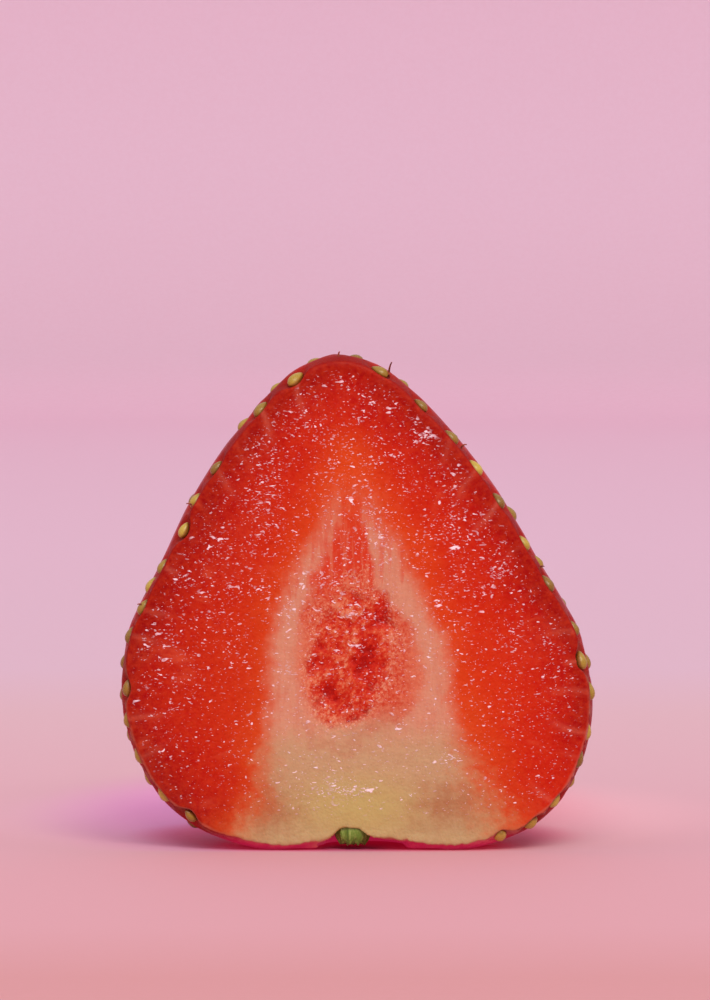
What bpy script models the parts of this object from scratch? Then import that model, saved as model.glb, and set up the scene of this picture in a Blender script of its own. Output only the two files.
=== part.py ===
"""Half of a strawberry, cut lengthways and stood on its shoulders with the tip up.

The flesh is one turned solid with a leaning centre line. It is cut by a knife plane in front of its
axis, pressed flat where it rests, hollowed where the calyx came off, and pitted where the achenes
(the small dry fruits that look like seeds) sit. The cut faces -Y, and the tip points to +Z.
"""

import math

import bmesh
import bpy
from mathutils import Matrix, Vector

MM = 0.001

# The whole fruit, in millimetres.
FRUIT_HEIGHT = 40.0
FRUIT_RADIUS = 18.9
BACK_FLATNESS = 0.95  # depth behind the axis, as a share of the radius
TIP_LEAN_LEFT = 1.35  # how far the tip stands to the left of the axis
TIP_LEAN_FRONT = 1.6  # how far the tip stands in front of the axis
WIDEST_AT = 0.31  # the height where the fruit stands on its axis, as a share of the whole

# The knife cut and the base, in millimetres.
CUT_FROM_AXIS = 3.7  # the cut plane's distance in front of the axis
REST_FLAT = 0.25  # how much of the shoulders is pressed flat
RIM_LIFT = 0.55  # how far the cut's lower edge curls up from the base
RIM_LIFT_REACH = 4.0  # how far behind the cut that curl begins

# The stub of stalk, and the hollow it hangs in, in millimetres.
STUB_X = -0.35
STUB_RADIUS = 1.6
STUB_END_RADIUS = 1.4
STUB_BEVEL = 0.22
STUB_OFF_TABLE = 0.5  # the stub's end above the table
HOLLOW_DEPTH = 2.5  # the hollow's roof above the table
HOLLOW_CLEARANCE = 0.35  # between the stub and the hollow's neck
HOLLOW_FLARE = 1.8  # how much wider the hollow's mouth is than its neck
STUB_GAP = 0.3  # between the stub and the hollow's roof, and in front of the stub to the cut

# One achene, and how it sits in its pit, in millimetres.
ACHENE_LENGTH = 1.6
ACHENE_WIDTH = 1.15
ACHENE_THICKNESS = 0.95
ACHENE_TAPER = 0.3  # how much narrower its pointed end is
ACHENE_SUNK = 0.2  # how far its middle lies under the skin
PIT_GAP = 0.2  # the clearance round an achene in its pit
BARED_SUNK = 0.3  # how far under the skin the achenes bared by the knife lie
BARED_BEHIND_CUT = 0.03  # the clearance between a bared achene and the cut

# How finely the solids are faceted.
TURN_STEPS = 60
PROFILE_STEPS_PER_SPAN = 2
ACHENE_SIDES = 8
ACHENE_RINGS = 6
STUB_SIDES = 10

# The fruit's outline, tip to base, as shares of (radius, height). The last points dip into the base.
PROFILE = (
    (0.000, 1.000), (0.085, 0.993), (0.195, 0.967), (0.282, 0.934), (0.402, 0.874), (0.538, 0.794),
    (0.675, 0.696), (0.790, 0.592), (0.893, 0.504), (0.963, 0.432), (1.000, 0.320), (0.972, 0.220),
    (0.885, 0.127), (0.750, 0.060), (0.590, 0.020), (0.410, 0.000), (0.280, 0.008), (0.150, 0.022),
    (0.000, 0.028),
)

# Achenes along the cut, as (degrees round the outline from the tip, millimetres behind the cut).
# BARED ones lie right behind the cut, where the knife opened their pits.
BARED = None
OUTLINE_CENTRE = 0.36  # the height those degrees turn about, as a share of the fruit's height
RIM_RIGHT = (
    (3, 2.7), (8, 1.1), (12, 3.2), (17, 1.1), (25, 1.5), (33, 1.4), (42, 1.1), (46, 3.4), (54, 1.3),
    (60, 3.2), (66, 1.1), (79, 1.6), (87, BARED), (88, 3.4), (95, 1.9), (105, 1.7), (112, 1.2),
    (118, 2.9), (124, 1.1), (132, 1.2), (140, BARED),
)
RIM_LEFT = (
    (5, 3.0), (10, BARED), (13, 3.1), (18, 1.1), (22, 3.0), (33, 1.1), (42, 1.5), (50, BARED),
    (61, 1.6), (67, 3.0), (73, 1.1), (81, 1.8), (88, 3.1), (94, BARED), (96, 3.4), (102, 1.3),
    (106, 3.6), (111, 1.5), (117, 3.2), (122, 1.2), (130, BARED), (132, 3.3),
)

# Achenes on the rest of the skin follow the growing spiral, which places them evenly.
SPIRAL_COUNT = 36  # places on a whole fruit
SPIRAL_BEHIND_CUT = 6.0  # the spiral's achenes are at least this far behind the cut
SPIRAL_LOWEST = 0.08  # and above this share of the height
GOLDEN_ANGLE = math.pi * (3 - math.sqrt(5))

CUT_Y = -CUT_FROM_AXIS
STUB_Y = CUT_Y + STUB_RADIUS + STUB_GAP
HOLLOW_NECK_RADIUS = STUB_RADIUS + HOLLOW_CLEARANCE
HOLLOW_MOUTH_RADIUS = HOLLOW_NECK_RADIUS + HOLLOW_FLARE
STUB_LENGTH = HOLLOW_DEPTH - STUB_GAP - STUB_OFF_TABLE
BARED_FROM_CUT = ACHENE_WIDTH / 2 + BARED_BEHIND_CUT


def clear_scene():
    for obj in list(bpy.data.objects):
        bpy.data.objects.remove(obj)


def make_collection(name, hidden=False):
    collection = bpy.data.collections.new(name)
    bpy.context.scene.collection.children.link(collection)
    collection.hide_render = hidden
    return collection


def make_material(name, colour, roughness):
    material = bpy.data.materials.new(name)
    material.use_nodes = True
    shader = material.node_tree.nodes["Principled BSDF"]
    shader.inputs["Base Color"].default_value = (*colour, 1)
    shader.inputs["Roughness"].default_value = roughness
    shader.inputs["Metallic"].default_value = 0
    return material


def make_object(name, mesh, collection, material=None):
    obj = bpy.data.objects.new(name, mesh)
    collection.objects.link(obj)
    if material:
        mesh.materials.append(material)
    return obj


def make_cutter(name, mesh, collection):
    obj = make_object(name, mesh, collection)
    obj.hide_render = True
    obj.display_type = "WIRE"
    return obj


def mesh_of(name, bm):
    mesh = bpy.data.meshes.new(name)
    bm.to_mesh(mesh)
    bm.free()
    return mesh


def cut(obj, cutter):
    modifier = obj.modifiers.new("Cut by " + cutter.name, "BOOLEAN")
    modifier.operation = "DIFFERENCE"
    modifier.solver = "EXACT"
    modifier.object = cutter


def smooth_through(points, steps, mirror_ends):
    """A Catmull-Rom curve through 2D points. Mirrored ends cross the axis at a right angle."""
    first, last = points[1], points[-2]
    if mirror_ends:
        first, last = (-first[0], first[1]), (-last[0], last[1])
    ends = [Vector(p) for p in (first, *points, last)]
    curve = []
    for a, b, c, d in zip(ends, ends[1:], ends[2:], ends[3:]):
        for step in range(steps):
            t = step / steps
            curve.append(
                0.5 * (2 * b + (c - a) * t + (2 * a - 5 * b + 4 * c - d) * t**2
                       + (3 * b - a - 3 * c + d) * t**3)
            )
    curve.append(ends[-2])
    return curve


def turned_mesh(name, outline, steps):
    """A closed mesh turned about Z from (radius, height) points in millimetres, top to bottom."""
    mesh = bpy.data.meshes.new(name + " profile")
    edges = [(i, i + 1) for i in range(len(outline) - 1)]
    mesh.from_pydata([(r * MM, 0, z * MM) for r, z in outline], edges, [])
    profile = bpy.data.objects.new(name + " profile", mesh)
    bpy.context.scene.collection.objects.link(profile)
    screw = profile.modifiers.new("Screw", "SCREW")
    screw.angle = 2 * math.pi
    screw.steps = screw.render_steps = steps
    screw.use_merge_vertices = True
    screw.merge_threshold = 0.00001
    bpy.context.view_layer.update()
    graph = bpy.context.evaluated_depsgraph_get()
    turned = bpy.data.meshes.new_from_object(profile.evaluated_get(graph))
    turned.name = name
    bpy.data.objects.remove(profile)
    return turned


def fruit_outline():
    shares = smooth_through(PROFILE, PROFILE_STEPS_PER_SPAN, mirror_ends=True)
    return [(s.x * FRUIT_RADIUS, s.y * FRUIT_HEIGHT - REST_FLAT) for s in shares]


def leaned(point):
    """A point of the upright turned fruit, in millimetres, moved to the real one."""
    share = point.z / FRUIT_HEIGHT
    lean_left = TIP_LEAN_LEFT * (share - WIDEST_AT) / (1 - WIDEST_AT)
    up = max(0.0, share - WIDEST_AT) / (1 - WIDEST_AT)
    down = max(0.0, WIDEST_AT - share) / WIDEST_AT
    depth = BACK_FLATNESS if point.y > 0 else 1.0
    y = point.y * depth - TIP_LEAN_FRONT * up**4
    near_cut = min(1.0, max(0.0, 1 - (y - CUT_Y) / RIM_LIFT_REACH))
    return Vector((point.x - lean_left, y, point.z + RIM_LIFT * down * near_cut**2))


def skin_point(outline, place, angle):
    """The real skin's point at a place along the outline, in spans and parts of a span."""
    i = min(int(place), len(outline) - 2)
    radius, z = Vector(outline[i]).lerp(Vector(outline[i + 1]), place - i)
    return leaned(Vector((radius * math.cos(angle), radius * math.sin(angle), z)))


def skin_frame(outline, place, angle):
    """The skin's point, and the rotation whose X runs down the skin and whose Z points out of it."""
    nudge = 0.15
    point = skin_point(outline, place, angle)
    down = skin_point(outline, place + nudge, angle) - skin_point(outline, place - nudge, angle)
    around = skin_point(outline, place, angle + nudge) - skin_point(outline, place, angle - nudge)
    out = down.cross(around).normalized()
    down.normalize()
    across = out.cross(down)
    return point, Matrix((down, across, out)).transposed()


def place_at_turn(outline, degrees):
    """Where along the outline the direction from its centre has turned that far from the tip."""
    centre = OUTLINE_CENTRE * FRUIT_HEIGHT
    turns = [math.degrees(math.atan2(r, z - centre)) for r, z in outline]
    i = next(i for i in range(len(turns) - 1) if turns[i + 1] > degrees)
    return i + (degrees - turns[i]) / (turns[i + 1] - turns[i])


def angle_behind_cut(outline, place, side, behind):
    """The angle at which the skin lies that far behind the cut, on the right (1) or the left (-1)."""
    nearest, furthest = -math.pi / 2, math.pi / 2
    for _ in range(40):
        angle = (nearest + furthest) / 2
        if skin_point(outline, place, angle).y < CUT_Y + behind:
            nearest = angle
        else:
            furthest = angle
    return angle if side > 0 else math.pi - angle


def seat(outline, place, angle, sunk):
    """Where an achene goes: its matrix, in metres."""
    point, rotation = skin_frame(outline, place, angle)
    return Matrix.Translation((point - rotation.col[2] * sunk) * MM) @ rotation.to_4x4()


def rim_seats(outline):
    seats = []
    for side, rim in ((1, RIM_RIGHT), (-1, RIM_LEFT)):
        for degrees, behind in rim:
            place = place_at_turn(outline, degrees)
            sunk = ACHENE_SUNK
            if behind is BARED:
                behind = BARED_FROM_CUT
                sunk = BARED_SUNK
            angle = angle_behind_cut(outline, place, side, behind)
            seats.append(seat(outline, place, angle, sunk))
    return seats


def spiral_places(outline):
    """The growing spiral: equal areas of skin, each a golden angle on from the last."""
    areas = [0.0]
    for (r1, z1), (r2, z2) in zip(outline, outline[1:]):
        areas.append(areas[-1] + (r1 + r2) * math.hypot(r2 - r1, z2 - z1))
    for k in range(SPIRAL_COUNT):
        wanted = areas[-1] * (k + 0.5) / SPIRAL_COUNT
        i = next(i for i in range(len(areas) - 1) if areas[i + 1] >= wanted)
        yield i + (wanted - areas[i]) / (areas[i + 1] - areas[i]), k * GOLDEN_ANGLE


def back_seats(outline):
    """The spiral's places on the skin behind the rim's achenes and above the base."""
    seats = []
    for place, angle in spiral_places(outline):
        point = skin_point(outline, place, angle)
        behind_rim = point.y > CUT_Y + SPIRAL_BEHIND_CUT
        if behind_rim and point.z > SPIRAL_LOWEST * FRUIT_HEIGHT:
            seats.append(seat(outline, place, angle, ACHENE_SUNK))
    return seats


def achene_mesh(name, gap):
    """A flattened drop along X, pointed at -X, grown by the gap all round."""
    bm = bmesh.new()
    bmesh.ops.create_uvsphere(bm, u_segments=ACHENE_SIDES, v_segments=ACHENE_RINGS, radius=1)
    half = Vector((ACHENE_LENGTH, ACHENE_WIDTH, ACHENE_THICKNESS)) / 2
    for vert in bm.verts:
        along, across, up = vert.co.z, vert.co.x, vert.co.y
        narrow = 1 + ACHENE_TAPER * along
        vert.co = Vector((
            along * (half.x + gap),
            across * (half.y * narrow + gap),
            up * (half.z * narrow + gap),
        )) * MM
    return mesh_of(name, bm)


def make_achenes(seats, collection, material):
    for number, matrix in enumerate(seats, 1):
        name = f"achene_{number:02d}"
        achene = make_object(name, achene_mesh(name, 0), collection, material)
        achene.data.shade_smooth()
        achene.matrix_world = matrix


def pits_mesh(seats):
    """All the pits as one cutter: each is its achene's own shape, grown by the pit gap."""
    bm = bmesh.new()
    for matrix in seats:
        pit = achene_mesh("pit", PIT_GAP)
        pit.transform(matrix)
        bm.from_mesh(pit)
        bpy.data.meshes.remove(pit)
    return mesh_of("pits", bm)


def box_mesh(name, low, high):
    """A box between two corners, in millimetres."""
    bm = bmesh.new()
    bmesh.ops.create_cube(bm, size=1)
    low, high = Vector(low) * MM, Vector(high) * MM
    bmesh.ops.scale(bm, vec=high - low, verts=bm.verts)
    bmesh.ops.translate(bm, vec=(low + high) / 2, verts=bm.verts)
    return mesh_of(name, bm)


def hollow_mesh():
    """The hollow where the calyx came off: a neck round the stub that flares out to the base."""
    roof, neck, mouth = HOLLOW_DEPTH, HOLLOW_NECK_RADIUS, HOLLOW_MOUTH_RADIUS
    flare = mouth - neck
    outline = [
        (0, roof), (neck - 0.15, roof), (neck, roof - 0.15), (neck + flare * 0.06, roof * 0.6),
        (neck + flare * 0.28, roof * 0.36), (neck + flare * 0.62, roof * 0.12), (mouth, -roof * 0.2),
        (0, -roof * 0.2),
    ]
    mesh = turned_mesh("hollow", outline, TURN_STEPS // 2)
    mesh.transform(Matrix.Translation(Vector((STUB_X, STUB_Y, 0)) * MM))
    return mesh


def make_flesh(outline, seats, collection, cutters, material):
    mesh = turned_mesh("flesh", outline, TURN_STEPS)
    for vert in mesh.vertices:
        vert.co = leaned(vert.co / MM) * MM
    flesh = make_object("flesh", mesh, collection, material)
    mesh.shade_smooth()
    mesh.set_sharp_from_angle(angle=math.radians(35))
    reach = FRUIT_HEIGHT + FRUIT_RADIUS
    knife = box_mesh("knife", (-reach, -reach, -reach), (reach, CUT_Y, reach * 2))
    table = box_mesh("table", (-reach, -reach, -reach), (reach, reach, 0))
    for cutter in (knife, table, hollow_mesh(), pits_mesh(seats)):
        cut(flesh, make_cutter(cutter.name, cutter, cutters))


def make_stub(collection, material):
    """The cut stalk: a short cone that hangs in the hollow, its torn end narrower."""
    bm = bmesh.new()
    bmesh.ops.create_cone(
        bm, cap_ends=True, segments=STUB_SIDES, depth=STUB_LENGTH * MM,
        radius1=STUB_END_RADIUS * MM, radius2=STUB_RADIUS * MM,
    )
    stub = make_object("stem_stub", mesh_of("stem_stub", bm), collection, material)
    stub.location = Vector((STUB_X, STUB_Y, STUB_OFF_TABLE + STUB_LENGTH / 2)) * MM
    bevel = stub.modifiers.new("Bevel", "BEVEL")
    bevel.width = STUB_BEVEL * MM
    bevel.segments = 1
    bevel.limit_method = "ANGLE"
    bevel.angle_limit = math.radians(50)
    stub.data.shade_smooth()


def centre_on_base(objects):
    """Moves everything so that the origin is under the middle of the part, on the table."""
    graph = bpy.context.evaluated_depsgraph_get()
    corners = []
    for obj in objects:
        shown = obj.evaluated_get(graph)
        corners += [shown.matrix_world @ vert.co for vert in shown.data.vertices]
    middle_x = (min(c.x for c in corners) + max(c.x for c in corners)) / 2
    middle_y = (min(c.y for c in corners) + max(c.y for c in corners)) / 2
    centre = bpy.data.objects.new("part_centre", None)
    bpy.context.scene.collection.objects.link(centre)
    for obj in bpy.data.objects:
        if obj is not centre:
            obj.parent = centre
    centre.location = (-middle_x, -middle_y, 0)
    bpy.context.view_layer.update()


def main():
    clear_scene()
    parts = make_collection("half_strawberry")
    cutters = make_collection("cutters", hidden=True)
    red = make_material("strawberry_flesh", (0.60, 0.02, 0.01), 0.3)
    green = make_material("stalk_green", (0.16, 0.20, 0.03), 0.6)
    straw = make_material("achene_straw", (0.50, 0.36, 0.08), 0.4)
    outline = fruit_outline()
    seats = rim_seats(outline) + back_seats(outline)
    make_flesh(outline, seats, parts, cutters, red)
    make_stub(parts, green)
    make_achenes(seats, parts, straw)
    bpy.context.view_layer.update()
    centre_on_base(list(parts.objects))


main()
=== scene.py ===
import math
import random

import bpy
import numpy as np
from mathutils import Matrix, Vector, noise
from mathutils.bvhtree import BVHTree
from mathutils.kdtree import KDTree


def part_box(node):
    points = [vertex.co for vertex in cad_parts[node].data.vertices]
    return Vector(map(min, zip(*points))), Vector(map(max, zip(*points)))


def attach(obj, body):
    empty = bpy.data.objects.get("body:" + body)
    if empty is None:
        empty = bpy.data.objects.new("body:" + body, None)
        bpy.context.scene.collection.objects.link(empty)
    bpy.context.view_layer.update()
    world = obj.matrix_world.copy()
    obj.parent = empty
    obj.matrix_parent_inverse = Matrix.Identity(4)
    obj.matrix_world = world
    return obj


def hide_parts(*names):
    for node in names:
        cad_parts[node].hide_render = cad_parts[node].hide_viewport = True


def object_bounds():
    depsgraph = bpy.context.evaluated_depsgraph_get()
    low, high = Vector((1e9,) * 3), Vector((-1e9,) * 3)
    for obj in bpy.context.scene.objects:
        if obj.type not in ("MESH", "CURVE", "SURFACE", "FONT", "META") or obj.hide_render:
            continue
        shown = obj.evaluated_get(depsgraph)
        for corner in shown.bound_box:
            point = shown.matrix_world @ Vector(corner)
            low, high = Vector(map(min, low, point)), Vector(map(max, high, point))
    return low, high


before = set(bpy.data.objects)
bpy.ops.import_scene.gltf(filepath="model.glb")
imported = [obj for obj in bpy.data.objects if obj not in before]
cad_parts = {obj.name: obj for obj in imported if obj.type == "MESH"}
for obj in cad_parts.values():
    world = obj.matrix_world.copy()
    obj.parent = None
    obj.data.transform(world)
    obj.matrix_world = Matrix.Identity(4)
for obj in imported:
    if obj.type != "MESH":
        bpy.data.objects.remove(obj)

cadLow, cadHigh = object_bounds()
mm = 0.001
rng = random.Random(7)
noise.seed_set(7)  # noise_vector would differ from run to run otherwise
scene = bpy.context.scene
print("frame loaded:", len(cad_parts), "nodes")


def pickNothing():
    if bpy.context.object and bpy.context.object.mode != "OBJECT":
        bpy.ops.object.mode_set(mode="OBJECT")
    bpy.ops.object.select_all(action="DESELECT")


def pickOnly(piece):
    pickNothing()
    piece.select_set(True)
    bpy.context.view_layer.objects.active = piece


def placeInMesh(piece):
    pickOnly(piece)
    bpy.ops.object.transform_apply(location=True, rotation=True, scale=True)


def useModifier(piece, kind, **settings):
    pickOnly(piece)
    modifier = piece.modifiers.new(kind.lower(), kind)
    for key, value in settings.items():
        setattr(modifier, key, value)
    bpy.ops.object.modifier_apply(modifier=modifier.name)


def smoothStep(low, high, value):
    t = np.clip((value - low) / (high - low), 0.0, 1.0)
    return t * t * (3 - 2 * t)


def readPoints(mesh):
    points = np.empty(len(mesh.vertices) * 3)
    mesh.vertices.foreach_get("co", points)
    return points.reshape(-1, 3)


def writePoints(mesh, points):
    mesh.vertices.foreach_set("co", points.ravel())
    mesh.update()


def readNormals(mesh):
    normals = np.empty(len(mesh.vertices) * 3)
    mesh.vertices.foreach_get("normal", normals)
    return normals.reshape(-1, 3)


def shadeSmooth(piece):
    for polygon in piece.data.polygons:
        polygon.use_smooth = True


def keepValue(mesh, name, values):
    layer = mesh.attributes.new(name, "FLOAT", "POINT")
    layer.data.foreach_set("value", np.asarray(values, dtype=np.float32))


def fromScreen(red, green, blue):
    # a colour as picked on a screen, 0 to 255, made linear
    steps = []
    for part in (red, green, blue):
        part /= 255
        steps.append(part / 12.92 if part <= 0.04045 else ((part + 0.055) / 1.055) ** 2.4)
    return (*steps, 1.0)


def lit(red, green, blue):
    # a colour as it looks in the studio's light, made into the colour of the matter itself
    seen = fromScreen(red, green, blue)
    return (seen[0] * 0.82, seen[1] * 0.76, seen[2] * 0.72, 1.0)


class Wire:  # a socket that can be used in sums
    def __init__(self, bench, socket):
        self.bench = bench
        self.socket = socket

    def __add__(self, other):
        return self.bench.sums("ADD", self, other)

    def __radd__(self, other):
        return self.bench.sums("ADD", other, self)

    def __sub__(self, other):
        return self.bench.sums("SUBTRACT", self, other)

    def __rsub__(self, other):
        return self.bench.sums("SUBTRACT", other, self)

    def __mul__(self, other):
        return self.bench.sums("MULTIPLY", self, other)

    def __rmul__(self, other):
        return self.bench.sums("MULTIPLY", other, self)


class Bench:
    def __init__(self, name):
        self.material = bpy.data.materials.new(name)
        self.material.use_nodes = True
        self.tree = self.material.node_tree
        self.tree.nodes.clear()

    def add(self, kind, settings=None, values=None, out=0):
        node = self.tree.nodes.new("ShaderNode" + kind)
        for key, value in (settings or {}).items():
            if key == "stops":
                stops = node.color_ramp.elements
                while len(stops) < len(value):
                    stops.new(1.0)
                for stop, (position, colour) in zip(stops, value):
                    stop.position = position
                    stop.color = colour
            else:
                setattr(node, key, value)
        for key, value in (values or {}).items():
            if isinstance(value, Wire):
                self.tree.links.new(value.socket, node.inputs[key])
            else:
                node.inputs[key].default_value = value
        return Wire(self, node.outputs[out])

    def sums(self, operation, first, second):
        return self.add("Math", {"operation": operation}, {0: first, 1: second})

    def rise(self, value, low, high, bottom=0.0, top=1.0):
        settings = {"interpolation_type": "SMOOTHSTEP"}
        return self.add("MapRange", settings, {0: value, 1: low, 2: high, 3: bottom, 4: top})

    def blend(self, share, first, second):
        return self.add("Mix", {"data_type": "RGBA"}, {0: share, 6: first, 7: second}, out=2)

    def stored(self, name):
        return self.add("Attribute", {"attribute_name": name}, out="Fac")

    def millimetres(self, middle=(0, 0, 0)):
        place = self.add("TexCoord", out="Object")
        return self.add("Mapping", None, {"Vector": place, "Location": middle, "Scale": (1000, 1000, 1000)})

    def away(self, place, location, scale):
        # the distance from a spot, after the place is stretched and then moved
        moved = self.add("Mapping", None, {"Vector": place, "Location": location, "Scale": scale})
        return self.add("VectorMath", {"operation": "LENGTH"}, {0: moved}, out="Value")

    def finish(self, shader):
        output = self.tree.nodes.new("ShaderNodeOutputMaterial")
        self.tree.links.new(shader.socket, output.inputs["Surface"])
        return self.material


fruit = {  # the same form and sizes as the frame's
    "height": 40.0 * mm,
    "radius": 18.9 * mm,
    "backFlatness": 0.95,
    "tipLeanLeft": 1.35 * mm,
    "tipLeanFront": 1.6 * mm,
    "widestAt": 0.31,
    "cutFromAxis": 3.7 * mm,
    "restFlat": 0.25 * mm,
    "rimLift": 0.55 * mm,
    "rimLiftReach": 4.0 * mm,
    "around": 220,
    "rows": 170,
    "grain": 0.21 * mm,  # the size of the finished mesh's faces
    "outline": [
        (0.000, 1.000), (0.085, 0.993), (0.195, 0.967), (0.282, 0.934), (0.402, 0.874),
        (0.538, 0.794), (0.675, 0.696), (0.790, 0.592), (0.893, 0.504), (0.963, 0.432),
        (1.000, 0.320), (0.972, 0.220), (0.885, 0.127), (0.750, 0.060), (0.590, 0.020),
        (0.410, 0.000), (0.280, 0.008), (0.150, 0.022), (0.000, 0.028),
    ],
}

fleshLow, fleshHigh = (Vector(corner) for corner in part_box("flesh"))
stubLow, stubHigh = (Vector(corner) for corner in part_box("stem_stub"))
cutY = fleshLow.y
axis = Vector(((fleshLow.x + fleshHigh.x) / 2, cutY + fruit["cutFromAxis"], 0))
stubMiddle = (stubLow + stubHigh) / 2


def smoothOutline(points, stepsPerSpan):
    # a Catmull-Rom curve that crosses the axis square at both ends
    ends = [Vector((-points[1][0], points[1][1]))] + [Vector(p) for p in points]
    ends.append(Vector((-points[-2][0], points[-2][1])))
    curve = []
    for a, b, c, d in zip(ends, ends[1:], ends[2:], ends[3:]):
        for step in range(stepsPerSpan):
            t = step / stepsPerSpan
            bend = (2 * a - 5 * b + 4 * c - d) * t * t + (3 * b - a - 3 * c + d) * t ** 3
            curve.append((2 * b + (c - a) * t + bend) / 2)
    curve.append(ends[-2])
    return curve


def outlineByLength():
    # radius and height at even steps along the outline, tip to base
    curve = smoothOutline(fruit["outline"], 12)
    radii = np.array([max(p.x, 0) * fruit["radius"] for p in curve])
    heights = np.array([p.y * fruit["height"] - fruit["restFlat"] for p in curve])
    runs = np.hypot(np.diff(radii), np.diff(heights))
    along = np.concatenate([[0], np.cumsum(runs)])
    return along / along[-1], radii, heights


outlineAt, outlineRadii, outlineHeights = outlineByLength()


def skinPoint(share, angle):
    radius = np.interp(share, outlineAt, outlineRadii)
    z = np.interp(share, outlineAt, outlineHeights)
    rise = z / fruit["height"]
    leanLeft = fruit["tipLeanLeft"] * (rise - fruit["widestAt"]) / (1 - fruit["widestAt"])
    up = max(0.0, rise - fruit["widestAt"]) / (1 - fruit["widestAt"])
    down = max(0.0, fruit["widestAt"] - rise) / fruit["widestAt"]
    x = radius * math.cos(angle) - leanLeft
    y = radius * math.sin(angle)
    y = y * (fruit["backFlatness"] if y > 0 else 1.0) - fruit["tipLeanFront"] * up ** 4
    nearCut = 1 - (y + fruit["cutFromAxis"]) / fruit["rimLiftReach"]
    nearCut = min(1.0, max(0.0, nearCut))
    return axis + Vector((x, y, z + fruit["rimLift"] * down * nearCut ** 2))


def shapeFruit():
    bpy.ops.mesh.primitive_uv_sphere_add(segments=fruit["around"], ring_count=fruit["rows"], radius=1)
    whole = bpy.context.object
    whole.name = "wholeFruit"
    for vertex in whole.data.vertices:
        turn = math.acos(max(-1.0, min(1.0, vertex.co.z))) / math.pi
        vertex.co = skinPoint(turn, math.atan2(vertex.co.y, vertex.co.x))
    return whole


# where the calyx came off
dip = {"roof": 1.93 * mm, "dome": 0.25 * mm, "neck": 2.0 * mm, "flare": 1.7 * mm}


def shapeHollow():
    # a domed neck that flares out to the base
    roof, neck, flare = dip["roof"], dip["neck"], dip["flare"]
    rings = [
        (roof, neck * 0.86), (roof * 0.84, neck), (roof * 0.66, neck + flare * 0.1),
        (roof * 0.4, neck + flare * 0.34), (roof * 0.15, neck + flare * 0.68), (-roof * 0.2, neck + flare),
    ]
    place = (stubMiddle.x, stubMiddle.y, roof + dip["dome"])
    bpy.ops.mesh.primitive_circle_add(vertices=64, radius=neck * 0.5, fill_type="NGON", location=place)
    hollow = bpy.context.object
    bpy.ops.object.mode_set(mode="EDIT")
    bpy.ops.mesh.select_all(action="SELECT")
    z, radius = roof + dip["dome"], neck * 0.5
    for nextZ, nextRadius in rings:
        bpy.ops.mesh.extrude_region_move(TRANSFORM_OT_translate={"value": (0, 0, nextZ - z)})
        grow = nextRadius / radius
        bpy.ops.transform.resize(value=(grow, grow, 1), center_override=(place[0], place[1], nextZ))
        z, radius = nextZ, nextRadius
    bpy.ops.mesh.select_all(action="SELECT")
    bpy.ops.mesh.normals_make_consistent(inside=False)
    bpy.ops.object.mode_set(mode="OBJECT")
    placeInMesh(hollow)
    return hollow


achene = {
    "length": 1.52 * mm,
    "width": 1.0 * mm,
    "thickness": 0.84 * mm,
    "sunk": -0.04 * mm,
    "point": 0.3,  # how much narrower the end towards the tip is
    "around": 14,
    "rows": 10,
    "spiralPlaces": 300,  # on a whole fruit
    "spacing": 3.1 * mm,
    "behindCut": 1.9 * mm,
    "lowest": 1.6 * mm,
    "spiralSunk": 0.16 * mm,
    "sizes": (0.88, 1.1),
    "turn": 0.14,  # how far each is turned from straight, in radians
    "baredWithin": 0.12 * mm,  # the knife has bared the ones nearer to the cut than this
    "baredPit": 1.22,  # the size of a bared one's pit, as a share of its own
    "paler": {"below": 5 * mm, "behindCut": 1.5 * mm, "by": 0.4},  # painted light: the low ones in front are drawn paler, as if they caught more light
    "shell": [  # the colours from the darkest to the palest
        (0.0, fromScreen(112, 72, 22)), (0.3, fromScreen(140, 106, 30)),
        (0.7, fromScreen(166, 136, 44)), (1.0, fromScreen(196, 172, 68)),
    ],
    "foot": fromScreen(118, 52, 18),
    "ends": fromScreen(110, 70, 24),
}


def frameOnSkin(skin, point):
    spot, outward, _, _ = skin.find_nearest(point)
    tip = skinPoint(0.0, 0.0)
    tipward = tip - spot
    if tipward.length < 0.6 * mm:
        tipward = Vector((0, 1, 0))
    tipward = (tipward - outward * tipward.dot(outward)).normalized()
    return spot, outward, tipward


def seatAchenes(skin):
    seats = []
    for name in sorted(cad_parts):
        if not name.startswith("achene_"):
            continue
        low, high = (Vector(corner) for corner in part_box(name))
        middle = (low + high) / 2
        spot, outward, tipward = frameOnSkin(skin, middle)
        bared = low.y < cutY + achene["baredWithin"]
        middle -= outward * achene["sunk"]
        seats.append({"at": middle, "spot": spot, "out": outward, "tipward": tipward, "bared": bared})
    areas = np.concatenate([[0], np.cumsum(
        (outlineRadii[1:] + outlineRadii[:-1]) * np.hypot(np.diff(outlineRadii), np.diff(outlineHeights)))])
    golden = math.pi * (3 - math.sqrt(5))
    for k in range(achene["spiralPlaces"]):
        share = np.interp(areas[-1] * (k + 0.5) / achene["spiralPlaces"], areas, outlineAt)
        point = skinPoint(share, k * golden)
        if point.y < cutY + achene["behindCut"] or point.z < achene["lowest"]:
            continue
        if min((point - seat["at"]).length for seat in seats) < achene["spacing"]:
            continue
        spot, outward, tipward = frameOnSkin(skin, point)
        seats.append({"at": spot - outward * achene["spiralSunk"], "spot": spot, "out": outward,
                      "tipward": tipward, "bared": False})
    for seat in seats:
        seat["size"] = rng.uniform(*achene["sizes"])
        seat["turn"] = rng.gauss(0, achene["turn"])
        seat["tone"] = rng.random()
    return seats


pickNothing()
whole = shapeFruit()
skinTree = BVHTree.FromObject(whole, bpy.context.evaluated_depsgraph_get())
seats = seatAchenes(skinTree)
print("fruit shaped,", len(seats), "achenes seated")


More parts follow.
